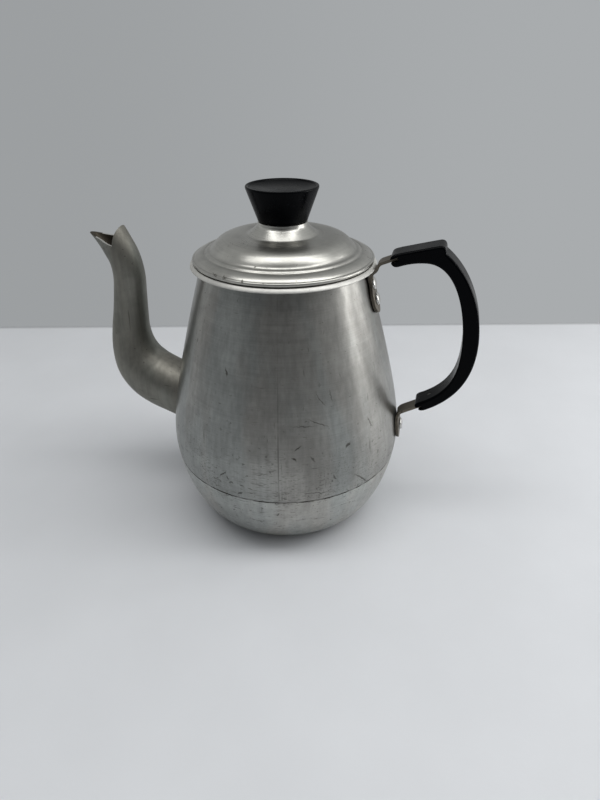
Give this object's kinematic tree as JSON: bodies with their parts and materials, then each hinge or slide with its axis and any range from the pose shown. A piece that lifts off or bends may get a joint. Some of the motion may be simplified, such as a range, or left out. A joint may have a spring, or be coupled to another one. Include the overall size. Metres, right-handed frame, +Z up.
{
  "type": "coffee pot",
  "caption": "Aluminium coffee pot with a pear-shaped body, a curved spout, a lift-off domed lid with a black knob, and a black bent side handle.",
  "frame": {"origin": "middle of the flat underside of the base, on the pot's turning axis", "axes": "+Z up the pot's turning axis, +X towards the handle, -X towards the spout"},
  "size_m": [0.2035, 0.125, 0.1786],
  "materials": {
    "body_aluminium": "spun and brushed, satin, lightly scratched",
    "lid_aluminium": "spun, satin to bright, worn",
    "spout_aluminium": "drawn tube, dull satin",
    "strap_aluminium": "tarnished sheet, dull",
    "rivet_aluminium": "formed head, satin",
    "black_bakelite": "moulded, semi-gloss, worn on its edges",
    "steel": "plain turned",
    "brass": "plain turned"
  },
  "bodies": {
    "pot": {"base_pan": "body_aluminium", "body_shell": "body_aluminium", "spout": "spout_aluminium", "upper_bracket": "strap_aluminium", "lower_bracket": "strap_aluminium", "upper_rivet_low": "rivet_aluminium", "upper_rivet_high": "rivet_aluminium", "lower_rivet": "rivet_aluminium", "handle_grip": "black_bakelite", "upper_handle_pin": "steel", "lower_handle_pin": "steel"},
    "lid": {"lid_cover": "lid_aluminium", "lid_locating_ring": "lid_aluminium", "knob": "black_bakelite", "knob_insert": "brass", "knob_washer": "steel", "knob_screw": "steel"}
  },
  "joints": [
    {"name": "lid_lift", "type": "slide", "parent": "pot", "child": "lid", "axis": [0, 0, 1], "range_m": [0, 0.08]}
  ]
}
